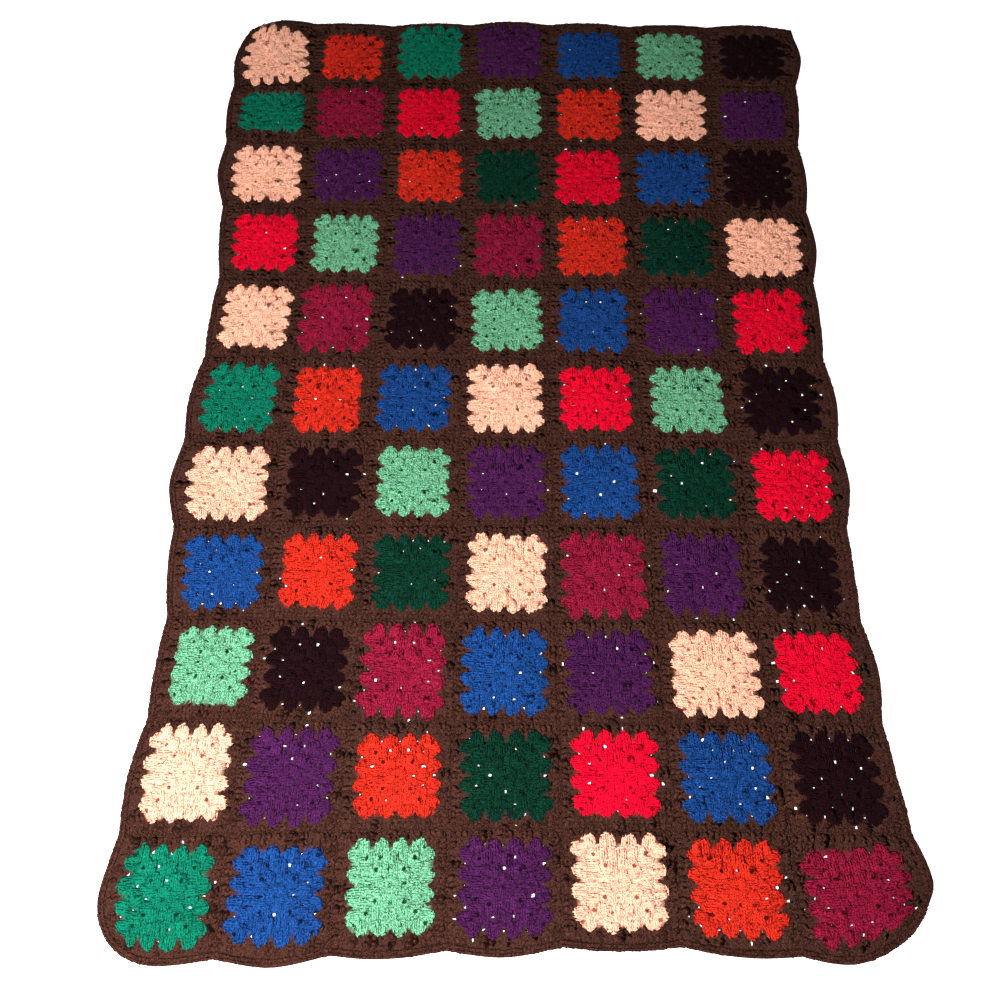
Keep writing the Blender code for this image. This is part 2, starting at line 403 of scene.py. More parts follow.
@dataclass(frozen=True)
class Plan:
    """The layout of the squares, which every piece follows."""

    rows: tuple[PlanRow, ...] = (
        PlanRow(-0.458, 0.470, 0.741, 0.753, 0.744, -0.002, 0.006),
        PlanRow(-0.449, 0.459, 0.604, 0.601, 0.597, 0.005, -0.002),
        PlanRow(-0.442, 0.452, 0.458, 0.454, 0.454, 0.013, 0.003),
        PlanRow(-0.431, 0.446, 0.306, 0.302, 0.299, 0.005, 0.010),
        PlanRow(-0.435, 0.443, 0.153, 0.147, 0.150, -0.003, 0.002),
        PlanRow(-0.443, 0.447, -0.005, -0.002, -0.005, 0.004, 0.005),
        PlanRow(-0.442, 0.451, -0.158, -0.150, -0.155, 0.015, 0.003),
        PlanRow(-0.434, 0.447, -0.303, -0.300, -0.301, 0.007, -0.005),
        PlanRow(-0.442, 0.455, -0.446, -0.453, -0.449, -0.005, 0.002),
        PlanRow(-0.456, 0.468, -0.602, -0.599, -0.599, -0.004, -0.009),
        PlanRow(-0.462, 0.472, -0.759, -0.740, -0.745, 0.004, 0.021),
    )
    columns: tuple[PlanColumn, ...] = (
        PlanColumn(0.015, -0.002),
        PlanColumn(-0.004, 0.007),
        PlanColumn(-0.006, 0.002),
        PlanColumn(-0.002, 0.003),
        PlanColumn(-0.005, -0.004),
        PlanColumn(-0.006, 0.000),
        PlanColumn(0.001, 0.010),
    )
    corners: tuple[PlanCorner, ...] = (
        PlanCorner(False, False, 0.025),
        PlanCorner(True, False, 0.006),
        PlanCorner(False, True, 0.019, 0.5),
        PlanCorner(True, True, 0.046),
    )
    divisions: tuple[float, ...] = (0.0, 0.1, 0.35, 0.65, 0.9)
    scallop_depth: float = 0.008    # how far the outline draws in at each seam
    row_bow: float = -0.008         # how far to the right the middle squares of every row lie
    edging_width: float = 0.011
    ruck_v: float = 1.9             # where the cloth is pushed up, in squares from the far end
    ruck_height: float = 0.007
    ruck_half_width: float = 0.09   # in squares
    ruck_length: float = 0.75       # in squares, from the left side
    square_puff: float = 0.0012     # how far the middle of a square stands above its seams

    def down(self, name: str, v: np.ndarray) -> np.ndarray:
        """One field of the rows, read at v squares from the far end."""
        return np.interp(v - 0.5, np.arange(ROWS), [getattr(row, name) for row in self.rows])

    def across(self, name: str, u: np.ndarray) -> np.ndarray:
        """One field of the columns, read at u squares from the left side."""
        return np.interp(u - 0.5, np.arange(COLUMNS), [getattr(col, name) for col in self.columns])

    def scallop(self, out: np.ndarray, place: np.ndarray) -> np.ndarray:
        """How far an outer side stands out: bowed over each square and drawn in at each seam."""
        return out - self.scallop_depth * (1.0 - np.abs(np.sin(np.pi * place)))

    def uncentred(self, u: np.ndarray, v: np.ndarray) -> tuple[np.ndarray, np.ndarray]:
        """Places on the plan, in squares, as metres before the outline is centred.

        Args:
            u: Squares from the left side.
            v: Squares from the far end.

        Returns:
            The x and y of each place.
        """
        def near(distance: np.ndarray) -> np.ndarray:
            """1 at an outer side, falling to 0 one square in."""
            return np.maximum(0.0, 1.0 - distance) ** 2

        share = (u - 0.5) / (COLUMNS - 1)
        left, right = self.down("x_left", v), self.down("x_right", v)
        x = left + (right - left) * share + self.row_bow * 4.0 * share * (1.0 - share)
        held = np.clip(share, 0.0, 1.0)
        y = self.down("y_left", v) * (1.0 - held) * (1.0 - 2.0 * held)
        y = y + self.down("y_middle", v) * 4.0 * held * (1.0 - held)
        y = y + self.down("y_right", v) * held * (2.0 * held - 1.0)
        y = y + SQUARE * (np.maximum(0.0, 0.5 - v) - np.maximum(0.0, v - (ROWS - 0.5)))
        x = x - self.scallop(self.down("out_left", v), v) * near(u)
        x = x + self.scallop(self.down("out_right", v), v) * near(COLUMNS - u)
        y = y + self.scallop(self.across("out_far", u), u) * near(v)
        y = y - self.scallop(self.across("out_foot", u), u) * near(ROWS - v)
        for corner in self.corners:
            from_side = COLUMNS - u if corner.at_right else u
            from_end = ROWS - v if corner.at_foot else v
            pulled = near(from_side / corner.spread) * near(from_end / corner.spread)
            drawn = corner.drawn_in * pulled / math.sqrt(2.0)
            x = x - drawn * (1.0 if corner.at_right else -1.0)
            y = y + drawn * (1.0 if corner.at_foot else -1.0)
        return x, y

    def perimeter(self, per_square: tuple[float, ...]) -> tuple[np.ndarray, np.ndarray]:
        """Places all the way round the joined squares, from the far left corner to the right.

        Args:
            per_square: Where each square's side is sampled, as shares of the side.

        Returns:
            The u and v of each place.
        """
        steps = np.array([square + part for square in range(COLUMNS) for part in per_square])
        downs = np.array([square + part for square in range(ROWS) for part in per_square])
        u = np.concatenate([steps, np.full(downs.size, COLUMNS), COLUMNS - steps, np.zeros(downs.size)])
        v = np.concatenate([np.zeros(steps.size), downs, np.full(steps.size, ROWS), ROWS - downs])
        return u, v

    @staticmethod
    def outward(x: np.ndarray, y: np.ndarray) -> tuple[np.ndarray, np.ndarray]:
        """The way out of a closed outline at each of its points.

        Args:
            x: The points from left to right, in order round the outline.
            y: The same, towards the far end.

        Returns:
            The x and y of a step of one that way.
        """
        run_x = np.roll(x, -1) - np.roll(x, 1)
        run_y = np.roll(y, -1) - np.roll(y, 1)
        length = np.hypot(run_x, run_y)
        return -run_y / length, run_x / length

    def middle(self) -> tuple[float, float]:
        """The middle of the outline with its edging, which becomes the origin.

        Returns:
            Its x and y, before the outline is centred.
        """
        x, y = self.uncentred(*self.perimeter(self.divisions))
        way_x, way_y = self.outward(x, y)
        x, y = x + self.edging_width * way_x, y + self.edging_width * way_y
        return (x.min() + x.max()) / 2.0, (y.min() + y.max()) / 2.0

    def lie(self, p: np.ndarray, q: np.ndarray) -> tuple[np.ndarray, np.ndarray]:
        """Where charted places really lie.

        Args:
            p: Charted metres to the right of the far left corner.
            q: Charted metres towards the far end from that corner, so mostly negative.

        Returns:
            The x and y of each place in the blanket's own frame.
        """
        x, y = self.uncentred(p / SQUARE, -q / SQUARE)
        middle_x, middle_y = self.middle()
        return x - middle_x, y - middle_y

    def lift(self, p: np.ndarray, q: np.ndarray) -> np.ndarray:
        """How far the cloth stands off the floor, which is only at the ruck."""
        across = np.exp(-(((-q / SQUARE - self.ruck_v) / self.ruck_half_width) ** 2))
        return self.ruck_height * across * np.maximum(0.0, 1.0 - p / SQUARE / self.ruck_length)

    def puff(self, p: np.ndarray, q: np.ndarray) -> np.ndarray:
        """How far the cloth swells over the middle of each square."""
        swell = np.sin(np.pi * p / SQUARE) * np.sin(np.pi * q / SQUARE)
        return self.square_puff * np.sqrt(np.abs(swell))


@dataclass(frozen=True)
class Strand:
    """One plump bit of yarn in a stitch, closed at both ends.

    Attributes:
        start: Its first end: metres up the stitch, across it and off its base.
        end: Its other end, in the same way.
        thick: Its thickness in metres.
        wide: Its width in metres.
    """

    start: Vector
    end: Vector
    thick: float
    wide: float

    @classmethod
    def in_mm(cls, sizes: tuple[float, ...]) -> "Strand":
        """A strand from its eight sizes in millimetres."""
        metres = [size / 1000.0 for size in sizes]
        return cls(Vector(metres[:3]), Vector(metres[3:6]), *metres[6:])


class StitchForm:
    """The shape of one stitch, from a few strands, ready to be set down thousands of times.

    A stitch is worked out at its usual length and width and stretched to each place. A hand never makes
    two alike, so a form has a few ways in which its strands may lie.
    """

    SIDES = 3
    BANDS = 3
    FILL = 4.0 / 3.0      # makes a three-sided strand as wide as it says
    HALF = 0.62           # how much of its width a strand keeps clear on either side of its line

    def __init__(
        self, length: float, width: float, table: tuple[tuple[Any, ...], ...], dome: float = 0.0
    ) -> None:
        """Models the strands.

        Args:
            length: The usual length of the stitch, foot to head.
            width: Its usual width.
            table: The sizes of its strands in millimetres, for each way in which they may lie.
            dome: How far its middle stands above its two ends.
        """
        ways = [[Strand.in_mm(sizes) for sizes in way] for way in table]
        self.dome = dome
        self.length = length
        self.width = width
        models = [self._model(strands) for strands in ways]
        self.points = np.stack([points for points, _, _ in models])
        self.grain = np.stack([grain for _, grain, _ in models])
        self.faces = models[0][2]
        self.per_strand = self.points.shape[1] // len(ways[0])
        self.strand_half = self.HALF * float(np.mean([strand.wide for way in ways for strand in way]))

    def _model(self, strands: list[Strand]) -> tuple[np.ndarray, np.ndarray, np.ndarray]:
        """Models one way of lying.

        Args:
            strands: The strands of the stitch.

        Returns:
            The points, the grain at each, and the triangles.
        """
        maker = bmesh.new()
        grain = maker.verts.layers.float_vector.new("grain")
        for strand in strands:
            self._lay_strand(maker, grain, strand)
        bmesh.ops.triangulate(maker, faces=list(maker.faces))
        maker.verts.index_update()
        points = np.array([vert.co for vert in maker.verts])
        grains = np.array([vert[grain] for vert in maker.verts])
        faces = np.array([[vert.index for vert in face.verts] for face in maker.faces])
        maker.free()
        return points, grains, faces

    def _lay_strand(self, maker: bmesh.types.BMesh, grain: Any, strand: Strand) -> None:
        """Adds one strand: a ball drawn out between its two ends, with a ridge along its top.

        Args:
            maker: The mesh that the stitch is made in.
            grain: The layer for each point's place along and across its strand in metres, and up it,
                from -1 at its underside to 1 at its top.
            strand: The strand.
        """
        made = bmesh.ops.create_uvsphere(
            maker, u_segments=self.SIDES, v_segments=self.BANDS, radius=0.5)
        run = strand.end - strand.start
        side = Vector((-run.y, run.x, 0.0)).normalized()
        rise = run.cross(side).normalized()
        rise = rise if rise.z > 0.0 else -rise
        for vert in made["verts"]:
            up, out, share = vert.co.x, vert.co.y * self.FILL, vert.co.z + 0.5
            along = strand.start + run * share
            vert.co = along + side * (out * strand.wide) + rise * (up * strand.thick)
            vert[grain] = Vector((share * run.length, out * strand.wide, 2.0 * up))


@dataclass
class StitchRun:
    """A growing list of stitches of one form.

    Attributes:
        parts: What was added: feet, heads, widths, bases, tones, bows and squares each time.
        tone_spread: How far stitches differ in tone.
    """

    parts: list[tuple[np.ndarray, ...]] = field(default_factory=list)
    tone_spread: float = 0.5

    def add(
        self,
        chance: np.random.Generator,
        feet: np.ndarray,
        heads: np.ndarray,
        widths: np.ndarray,
        heights: np.ndarray,
        height_spread: float,
        tone: float = 0.0,
        bows: Any = 0.0,
        square: int = -1,
    ) -> None:
        """Adds stitches, a little uneven in height and tone.

        Args:
            chance: The source of the unevenness.
            feet: Where each starts, as (stitches, 2).
            heads: Where each ends.
            widths: How wide each is.
            heights: How far off the cloth feet and heads lie at least, as (2,) or (stitches, 2).
            height_spread: How far the heights stray upwards.
            tone: How much lighter or darker they are, about 0.
            bows: How far the middle of each is pushed to the right.
            square: The number of the square that they belong to, if they belong to one.
        """
        count = len(feet)
        bases = heights + np.abs(chance.normal(0.0, height_spread, (count, 2)))
        tones = np.clip(chance.normal(tone, self.tone_spread, count), -1.0, 1.0)
        bows = np.broadcast_to(bows, count)
        self.parts.append((feet, heads, widths, bases, tones, bows, np.full(count, square)))

    def gathered(self) -> tuple[np.ndarray, ...]:
        """All the stitches, one array for each property."""
        return tuple(np.concatenate(values) for values in zip(*self.parts))


@dataclass(frozen=True)
class Round:
    """One round of a square, worked in clusters of three stitches.

    Attributes:
        clusters: How many clusters there are to a side.
        pitch: How far apart they are, in metres.
        foot: How far out from the square's middle the stitches start.
        head: How far out their tops reach.
        foot_step: How far apart the three stitches of a cluster are at their feet.
        head_step: How far apart they are at their heads.
        width: How wide one stitch is.
        bulge: How far the outer two bow away from the middle one.
        crown: How much higher the middle one reaches, which rounds the cluster.
    """

    clusters: int
    pitch: float
    foot: float
    head: float
    foot_step: float
    head_step: float
    width: float
    bulge: float
    crown: float

    def places(self) -> list[float]:
        """Where the clusters of one side stand, from the middle of the side."""
        return [(index - (self.clusters - 1) / 2.0) * self.pitch for index in range(self.clusters)]


COLOUR_ROUNDS = (
    Round(1, 0.0260, 0.0002, 0.0160, 0.0016, 0.0050, 0.0080, 0.0020, 0.0014),
    Round(2, 0.0260, 0.0088, 0.0312, 0.0022, 0.0066, 0.0084, 0.0030, 0.0018),
    Round(3, 0.0265, 0.0232, 0.0464, 0.0022, 0.0066, 0.0084, 0.0034, 0.0018),
    Round(4, 0.0270, 0.0382, 0.0622, 0.0026, 0.0036, 0.0082, 0.0044, 0.0026),
)
BORDER_ROUND = Round(5, 0.0270, 0.0495, 0.0736, 0.0042, 0.0080, 0.0078, 0.0006, 0.0)
SIDE_TURNS = ((1, 0, 0, 1), (0, 1, -1, 0), (-1, 0, 0, -1), (0, -1, 1, 0))

# The ways in which a stitch of each form may lie. Each strand is given by its start, its end, its
# thickness and its width, in millimetres.
CLUSTER_WAYS = (
    (
        (-0.8, -1.8, 0.4, 19.4, -2.7, 1.2, 2.7, 2.9),
        (0.4, 0.2, 0.7, 21.4, -0.2, 1.5, 2.8, 2.9),
        (-0.6, 1.9, 0.4, 20.4, 2.7, 1.2, 2.7, 2.9),
        (19.2, -3.2, 1.4, 21.2, 3.0, 1.6, 2.7, 3.0),
        (9.4, -3.2, 1.2, 14.0, 2.6, 1.4, 2.7, 2.8),
    ),
    (
        (0.6, -2.0, 0.4, 21.0, -2.5, 1.2, 2.7, 3.0),
        (-0.8, -0.4, 0.6, 15.0, 0.6, 1.4, 2.8, 2.9),
        (-0.2, 2.0, 0.4, 21.4, 2.5, 1.2, 2.7, 3.0),
        (11.2, -0.6, 1.3, 22.2, 0.4, 1.6, 2.8, 2.9),
        (19.0, 3.2, 1.4, 20.4, -3.2, 1.5, 2.7, 2.8),
    ),
    (
        (-0.6, -1.8, 0.4, 21.6, -2.7, 1.3, 2.7, 2.9),
        (-0.8, 0.4, 0.6, 20.6, 0.0, 1.4, 2.8, 2.9),
        (0.4, 2.2, 0.4, 13.6, 2.4, 1.3, 2.7, 2.9),
        (10.4, 2.8, 1.1, 21.8, 2.3, 1.3, 2.7, 2.9),
        (15.0, -3.4, 1.3, 19.0, 2.6, 1.6, 2.7, 2.8),
    ),
)
BORDER_WAYS = (
    (
        (-0.8, -3.0, 0.5, 11.2, 3.0, 1.1, 1.8, 7.0),
        (5.6, 3.6, 0.9, 16.0, -3.4, 1.1, 1.8, 6.6),
        (12.4, -2.0, 1.0, 21.2, 3.2, 1.2, 1.8, 7.2),
    ),
    (
        (-0.6, 3.4, 0.5, 9.6, -3.0, 1.1, 1.8, 7.0),
        (6.6, -4.0, 0.9, 13.8, 4.0, 1.1, 1.8, 6.6),
        (11.0, 1.8, 1.0, 21.4, -2.0, 1.2, 1.8, 7.4),
    ),
    (
        (-0.4, -1.4, 0.5, 13.0, 1.8, 1.1, 1.8, 7.8),
        (9.2, 4.4, 0.9, 14.6, -4.4, 1.1, 1.8, 6.2),
        (14.0, 3.0, 1.0, 20.8, -3.4, 1.2, 1.8, 7.4),
    ),
)
JOINING_WAYS = (
    (
        (-1.0, 0.8, 0.6, 6.2, -2.2, 1.1, 2.2, 4.6),
        (-1.0, -0.6, 0.6, 6.2, 2.4, 1.1, 2.2, 4.6),
    ),
    (
        (-1.2, 1.6, 0.7, 5.2, -1.4, 1.1, 2.2, 5.0),
        (-0.2, -2.6, 0.6, 6.0, 1.8, 1.2, 2.2, 4.6),
    ),
)
EDGING_WAYS = (
    (
        (-0.8, -1.2, 0.6, 5.2, 1.4, 1.4, 3.8, 4.8),
        (2.6, -3.2, 2.0, 4.0, 3.2, 2.2, 2.8, 3.0),
        (4.6, -3.2, 1.7, 5.8, 3.2, 1.8, 2.8, 3.0),
    ),
    (
        (-0.8, 0.4, 0.7, 5.0, -0.4, 1.4, 3.8, 5.2),
        (2.2, -3.0, 2.1, 4.2, 3.0, 2.1, 2.8, 3.2),
        (4.8, -3.0, 1.6, 5.6, 3.4, 1.9, 2.8, 3.0),
    ),
)


@dataclass
class StitchForms:
    """The forms of stitch used in the blanket."""

    cluster: StitchForm = field(default_factory=lambda: StitchForm(0.0220, 0.0070, CLUSTER_WAYS, 0.0009))
    border: StitchForm = field(default_factory=lambda: StitchForm(0.0206, 0.0070, BORDER_WAYS))
    joining: StitchForm = field(default_factory=lambda: StitchForm(0.0055, 0.0056, JOINING_WAYS))
    edging: StitchForm = field(default_factory=lambda: StitchForm(0.0052, 0.0046, EDGING_WAYS))


@dataclass
class StitchMaker:
    """Sets stitches down on the plan as joined meshes.

    Attributes:
        plan: The plan that the stitches follow.
        pieces: Every piece made, and its yarn.
        spaces: Each square's spaces on the plan, and how deeply each one is dimpled.
        gaps: Those of each square's spaces round which the strands part.
        holed: Which of those gaps go right through.
    """

    plan: Plan
    pieces: list[tuple[bpy.types.Object, YarnColour]] = field(default_factory=list)
    spaces: dict[int, tuple[np.ndarray, np.ndarray]] = field(default_factory=dict)
    gaps: dict[int, np.ndarray] = field(default_factory=dict)
    holed: dict[int, np.ndarray] = field(default_factory=dict)
    clearance: float = 0.0021       # how far the side of a strand keeps from the middle of a gap
    stations: int = 4               # in how many steps a strand's line is followed past a gap
    stray: float = 0.0002           # how rough loose fibres make the strands
    strand_spread: float = 0.4      # how far the strands of one stitch differ in tone
    swell_early: float = 0.6        # below one, a bowed stitch is widest nearer to its foot
    dimple_reach: float = 0.0037    # how far from a closed space's middle the strands dip into it
    dimple_depth: float = 0.0014
    far_off: float = 9.0            # where a point with no dimple lies from it, in reaches
    lowest: float = 0.0002          # the least height above the floor

    def work(
        self, name: str, form: StitchForm, run: StitchRun, colour: YarnColour, charted: bool = True
    ) -> None:
        """Makes one piece out of a run of stitches.

        Args:
            name: The piece's name.
            form: The form of its stitches.
            run: Where its stitches go.
            colour: Its yarn.
            charted: Whether the places are on the plan, and not yet where they lie.
        """
        feet, heads, widths, bases, tones, bows, squares = run.gathered()
        chance = np.random.default_rng(SEED + len(feet))
        ways = chance.integers(0, len(form.points), len(feet))
        shape = form.points[ways]
        runs = heads - feet
        right = np.stack([runs[:, 1], -runs[:, 0]], axis=1) / np.hypot(*runs.T)[:, None]
        along = shape[:, :, 0] / form.length
        held = np.clip(along, 0.0, 1.0)
        across = shape[:, :, 1] * (widths / form.width)[:, None]
        across = across + bows[:, None] * np.sin(np.pi * held ** self.swell_early)
        stray = chance.normal(0.0, self.stray, (*along.shape, 3))
        spots = feet[:, None] + runs[:, None] * along[:, :, None]
        spots = spots + right[:, None] * across[:, :, None] + stray[:, :, :2]
        self._part(form, squares, spots)
        dimples = self._dimples(spots, squares, form.per_strand)
        height = bases[:, 0:1] + (bases[:, 1:2] - bases[:, 0:1]) * along + shape[:, :, 2]
        height = height + form.dome * np.sin(np.pi * held) + stray[:, :, 2]
        near = np.exp(-(dimples[:, :, :2] ** 2).sum(axis=2)) * dimples[:, :, 2]
        height = height - self.dimple_depth * near
        if charted:
            p, q = spots[:, :, 0], spots[:, :, 1]
            height = height + self.plan.lift(p, q) + self.plan.puff(p, q)
            spots = np.stack(self.plan.lie(p, q), axis=2)
        points = np.concatenate([spots, np.maximum(height, self.lowest)[:, :, None]], axis=2)
        starts = (np.arange(len(feet)) * shape.shape[1])[:, None, None]
        piece = self.joined_mesh(name, points.reshape(-1, 3), (form.faces + starts).reshape(-1, 3))
        strands = shape.shape[1] // form.per_strand
        own_tones = chance.normal(0.0, self.strand_spread, (len(feet), strands))
        own_tones = np.repeat(tones[:, None] + own_tones, form.per_strand, axis=1)
        self._give_attributes(piece, form.grain[ways], own_tones, dimples)
        self.pieces.append((piece, colour))
        LOG.info("%s: %d stitches", name, len(feet))

    def _part(self, form: StitchForm, squares: np.ndarray, spots: np.ndarray) -> None:
        """Moves the strands that would cross a gap to one side of it, in place.

        Args:
            form: The form of the stitches.
            squares: The number of each stitch's square.
            spots: Where the points are on the plan, as (stitches, points, 2).
        """
        run = form.grain[0, :form.per_strand, 0]
        levels = np.round(run / run.max() * self.stations)
        stations = [np.flatnonzero(levels == level) for level in np.unique(levels)]
        for square in np.unique(squares[squares >= 0]):
            own = np.flatnonzero(squares == square)
            gaps = self.gaps[square]
            if not len(gaps):
                continue
            strands = spots[own].reshape(len(own), -1, form.per_strand, 2)
            line = np.stack([strands[:, :, at].mean(axis=2) for at in stations], axis=2)
            start, reach = line[:, :, :-1, None], np.diff(line, axis=2)[:, :, :, None]
            share = ((gaps - start) * reach).sum(axis=-1) / (reach ** 2).sum(axis=-1)
            off = start + reach * np.clip(share, 0.0, 1.0)[..., None] - gaps
            off = off.reshape(*line.shape[:2], -1, 2)
            away = np.hypot(off[..., 0], off[..., 1])
            near = away.argmin(axis=2)[:, :, None]
            closest = np.take_along_axis(away, near, axis=2)
            way = np.take_along_axis(off, near[..., None], axis=2)[:, :, 0] / np.maximum(closest, TINY)
            push = way * np.maximum(0.0, self.clearance + form.strand_half - closest)
            spots[own] += np.repeat(push, form.per_strand, axis=1)

    def _dimples(self, spots: np.ndarray, squares: np.ndarray, per_strand: int) -> np.ndarray:
        """Where each point lies from the space that its strand passes closest to.

        Args:
            spots: Where the points are on the plan, as (stitches, points, 2).
            squares: The number of each stitch's square.
            per_strand: How many points a strand has.

        Returns:
            How far right and how far on each point lies, in reaches of a dimple, and the dimple's depth
            from 0 to 1, as (stitches, points, 3).
        """
        found = np.tile([self.far_off, self.far_off, 0.0], (*spots.shape[:2], 1))
        for square in np.unique(squares[squares >= 0]):
            own = squares == square
            middles, force = self.spaces[square]
            away = ((spots[own][:, :, None] - middles) ** 2).sum(axis=-1)
            closest = away.reshape(len(away), -1, per_strand, len(middles)).min(axis=2).argmin(axis=2)
            chosen = np.repeat(closest, per_strand, axis=1)
            found[own, :, :2] = (spots[own] - middles[chosen]) / self.dimple_reach
            found[own, :, 2] = force[chosen]
        return found

    def joined_mesh(self, name: str, points: np.ndarray, faces: np.ndarray) -> bpy.types.Object:
        """One object out of points and triangles.

        Args:
            name: The object's name.
            points: The points, as (points, 3).
            faces: The corners of each triangle, as (triangles, 3).

        Returns:
            The object, in the scene.
        """
        mesh = bpy.data.meshes.new(name)
        mesh.vertices.add(len(points))
        mesh.vertices.foreach_set("co", points.astype(np.float32).ravel())
        mesh.loops.add(faces.size)
        mesh.loops.foreach_set("vertex_index", faces.astype(np.int32).ravel())
        mesh.polygons.add(len(faces))
        mesh.polygons.foreach_set("loop_start", np.arange(0, faces.size, 3, dtype=np.int32))
        mesh.polygons.foreach_set("use_smooth", np.ones(len(faces), dtype=bool))
        mesh.update(calc_edges=True)
        return linked(name, mesh)

    def _give_attributes(
        self, piece: bpy.types.Object, grains: np.ndarray, tones: np.ndarray, dimples: np.ndarray
    ) -> None:
        """Stores what the yarn's material follows.

        Args:
            piece: The joined stitches.
            grains: The run of the strands at each point of each stitch.
            tones: The tone of each point.
            dimples: Where each point lies from its strand's dimple, and how deep that is.
        """
        tone = piece.data.attributes.new("tone", "FLOAT", "POINT")
        tone.data.foreach_set("value", tones.astype(np.float32).ravel())
        for name, vectors in {"grain": grains, "dimple": dimples}.items():
            layer = piece.data.attributes.new(name, "FLOAT_VECTOR", "POINT")
            layer.data.foreach_set("vector", vectors.astype(np.float32).ravel())


# The spaces between clusters, as x, y from a square's middle and how readily each gapes. One eighth of a
# square is given, and the rest of it is the same. The last two lie in the brown round.
SPACES = (
    (0.0, 0.0215, 0.8),
    (0.0200, 0.0200, 1.0),
    (0.01325, 0.0370, 0.9),
    (0.0345, 0.0345, 1.0),
    (0.0, 0.0525, 1.1),
    (0.0270, 0.0525, 1.1),
    (0.0490, 0.0490, 0.8),
    (0.0135, 0.0645, 0.3),
    (0.0405, 0.0645, 0.3),
)


@dataclass
class GrannySquares:
    """All the squares: four rounds of coloured clusters and a brown round on each.

    Heights are how far the feet and heads of stitches lie off the cloth, and a spread is how far a
    measure strays from one stitch, cluster or square to the next.
    """

    forms: StitchForms
    maker: StitchMaker
    colour_heights: tuple[float, float] = (0.0006, 0.0010)
    border_heights: tuple[float, float] = (0.0003, 0.0007)
    height_spread: float = 0.0004
    end_spread: float = 0.0005
    cluster_spread: float = 0.0011
    reach_follows: float = 0.6      # how much of its cluster's straying a stitch's length follows
    foot_follows: float = 0.3
    width_spread: float = 0.08      # as a share of the width
    middle_extra: float = 0.1       # how much wider the middle stitch of a cluster is
    crown_share: float = 0.4        # how much of the crown lies beyond the round's reach
    foot_draw: float = 0.985        # how far feet are drawn in towards the middle of their side
    turn_spread: float = 1.4        # in degrees
    tone_spread: float = 0.25
    corner_foot: float = 0.0560     # where the stitch at each brown corner starts, in x and in y
    corner_reach: float = 1.25      # how far out it reaches, as a share of that
    gap_share: float = 0.54         # how many spaces gape where the share in SPACES is one
    far_holes: float = 0.12         # how many of them show the floor in the first row, not the last
    hole_bend: float = 0.9
    space_spread: float = 0.0008
    force: float = 0.80             # how deep a closed space is and how strong its painted shade, from 0 to 1
    force_spread: float = 0.35
    gap_force: float = 0.9          # how deep the strands dip round a gap, and how strong the painted shade there is
    faint_share: float = 0.5        # spaces that gape less readily than this are faint
    faintness: float = 0.3

    @staticmethod
    def spaces() -> np.ndarray:
        """All the spaces of a square.

        Returns:
            The x, y and share of each, in a fixed order.
        """
        found = set()
        for x, y, share in SPACES:
            for a, b in ((x, y), (y, x)):
                found.update((s * a + 0.0, t * b + 0.0, share) for s in (-1.0, 1.0) for t in (-1.0, 1.0))
        return np.array(sorted(found))

    def sink_spaces(self, square: Square) -> None:
        """Chooses which spaces between a square's clusters gape, and how deep the others are.

        Args:
            square: The square.
        """
        chance = chance_for(Draw.SPACES, square.number)
        spaces = self.spaces()
        force = np.clip(chance.normal(self.force, self.force_spread, len(spaces)), 0.0, 1.0)
        force = np.where(spaces[:, 2] < self.faint_share, self.faintness * force, force)
        spots = square.eased(spaces[:, :2])
        spots = spots + chance.normal(0.0, self.space_spread, spots.shape)
        gaping = chance.random(len(spots)) < self.gap_share * spaces[:, 2]
        reach = self.far_holes + (1.0 - self.far_holes) * (square.row / (ROWS - 1)) ** self.hole_bend
        holed = chance.random(int(gaping.sum())) < reach
        self.maker.spaces[square.number] = (spots, np.where(gaping, self.gap_force, force))
        self.maker.gaps[square.number] = spots[gaping]
        self.maker.holed[square.number] = holed & FINISHES[square.colour].holed

    def work_round(self, worked: Round, chance: np.random.Generator) -> tuple[np.ndarray, ...]:
        """The stitches of one round, from the middle of a true square.

        Args:
            worked: The round.
            chance: The source of small unevenness.

        Returns:
            The feet, the heads, the widths and the bows of the stitches.
        """
        stitches = []
        for turn in SIDE_TURNS:
            for place in worked.places():
                shift = chance.normal(0.0, self.cluster_spread, 2)
                for step in (-1, 0, 1):
                    foot_x = place * self.foot_draw + step * worked.foot_step
                    foot_x = foot_x + self.foot_follows * shift[0]
                    head_x = place + step * worked.head_step + shift[0]
                    head_x = head_x + chance.normal(0.0, self.end_spread)
                    reach = worked.head + worked.crown * (self.crown_share - abs(step))
                    reach = reach + self.reach_follows * shift[1] + chance.normal(0.0, self.end_spread)
                    width = 1.0 + self.middle_extra * (1 - abs(step))
                    width = worked.width * (width + chance.normal(0.0, self.width_spread))
                    foot = self._turned(turn, foot_x, worked.foot)
                    head = self._turned(turn, head_x, reach)
                    stitches.append((foot, head, width, step * worked.bulge))
        return tuple(np.array(values) for values in zip(*stitches))

    @staticmethod
    def _turned(turn: tuple[int, int, int, int], x: float, y: float) -> tuple[float, float]:
        """A place on the far side, turned to another side."""
        return turn[0] * x + turn[1] * y, turn[2] * x + turn[3] * y

    def make(self) -> None:
        """Works every square and joins the stitches of each yarn into one piece."""
        runs = {colour: StitchRun() for colour in YarnColour}
        for square in SQUARES:
            self.sink_spaces(square)
            self._work_square(square, runs[square.colour], runs[YarnColour.BROWN])
        for colour, run in runs.items():
            if colour is YarnColour.BROWN:
                self.maker.work("border_stitches", self.forms.border, run, colour)
            else:
                self.maker.work(f"stitches_{FINISHES[colour].name}", self.forms.cluster, run, colour)

